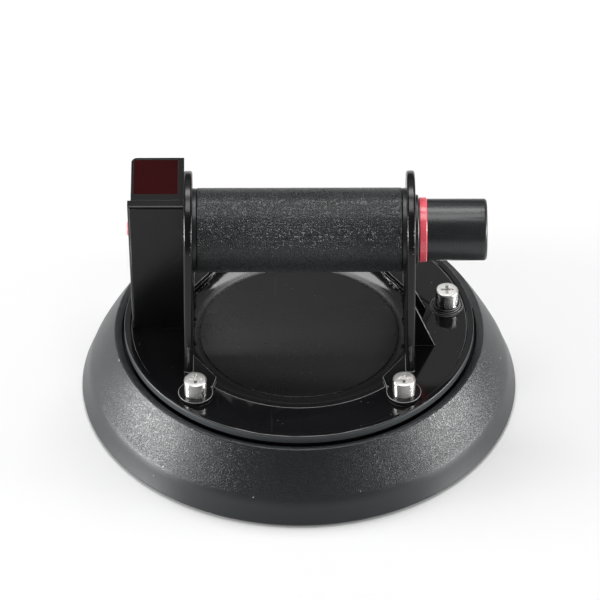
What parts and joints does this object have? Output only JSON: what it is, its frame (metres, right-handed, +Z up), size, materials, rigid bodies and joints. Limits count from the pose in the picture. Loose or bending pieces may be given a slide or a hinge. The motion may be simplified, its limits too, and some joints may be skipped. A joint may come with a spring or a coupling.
{
  "type": "hand pump suction lifter",
  "caption": "Round black suction lifter for floor tiles with a bridge handle that holds a spring-return hand pump and a side instrument pod.",
  "frame": {"origin": "centre of the rubber cup's lip, on the surface the lifter stands on", "axes": "+Z up, +X along the handle towards the pump plunger, -Y towards the user who reads the pod's plain front face"},
  "size_m": [0.2036, 0.2036, 0.1208],
  "materials": {
    "cup_rubber": "moulded rubber, smooth lip and pebbled dome",
    "plate_gloss_black": "polished moulding",
    "plain_aluminium": "plain turned",
    "black_steel": "black oxide",
    "zinc_steel": "zinc plated",
    "bracket_black": "semi-gloss black coating",
    "bush_plastic": "moulded",
    "grip_rubber": "fine pebble grain",
    "seal_rubber": "soft moulded",
    "plunger_grey": "satin",
    "signal_red": "gloss",
    "spring_steel": "bright drawn wire",
    "pod_black": "fine satin",
    "window_red": "polished tinted pane",
    "display_black": "moulded case",
    "board_green": "solder mask",
    "hose_clear_grey": "smooth extruded",
    "fitting_brass": "turned",
    "sintered_bronze": "porous sintered"
  },
  "bodies": {
    "base": {"rubber_cup": "cup_rubber", "base_plate": "plate_gloss_black", "clamp_plate": "plain_aluminium", "foot_bolts": "black_steel", "clamp_washers": "zinc_steel", "clamp_nuts": "zinc_steel", "left_upright": "bracket_black", "right_upright": "bracket_black", "head_screws": "black_steel", "pump_cylinder": "plain_aluminium", "guide_bush": "bush_plastic", "left_end_ring": "bush_plastic", "right_end_ring": "bush_plastic", "grip_sleeve": "grip_rubber", "cylinder_head": "bush_plastic", "head_seal": "seal_rubber", "inlet_valve": "seal_rubber", "exhaust_valve": "seal_rubber", "plunger_spring": "spring_steel", "pod_front_cover": "pod_black", "pod_rear_shell": "pod_black", "pod_screws": "black_steel", "display_window": "window_red", "display_module": "display_black", "control_board": "board_green", "battery_holder": "bush_plastic", "battery_cell": "zinc_steel", "manifold_block": "bush_plastic", "vacuum_hose": "hose_clear_grey", "port_fitting": "fitting_brass", "port_nut": "fitting_brass", "intake_filter": "sintered_bronze", "button_spring": "spring_steel", "pressure_sensor": "display_black"},
    "plunger": {"plunger_body": "plunger_grey", "plunger_cap": "plunger_grey", "warning_ring": "signal_red", "retaining_clip": "zinc_steel", "piston": "bush_plastic", "piston_seal": "seal_rubber"},
    "button": {"release_button": "signal_red", "valve_seal": "seal_rubber"}
  },
  "joints": [
    {"name": "plunger_slide", "type": "slide", "parent": "base", "child": "plunger", "axis": [1, 0, 0], "range_m": [-0.026, 0], "stiffness_N_per_m": 1500, "springref_m": 0.01, "deforming": ["plunger_spring"]},
    {"name": "button_slide", "type": "slide", "parent": "base", "child": "button", "axis": [1, 0, 0], "range_m": [0, 0.002], "stiffness_N_per_m": 1000, "springref_m": -0.001, "deforming": ["button_spring"]}
  ]
}
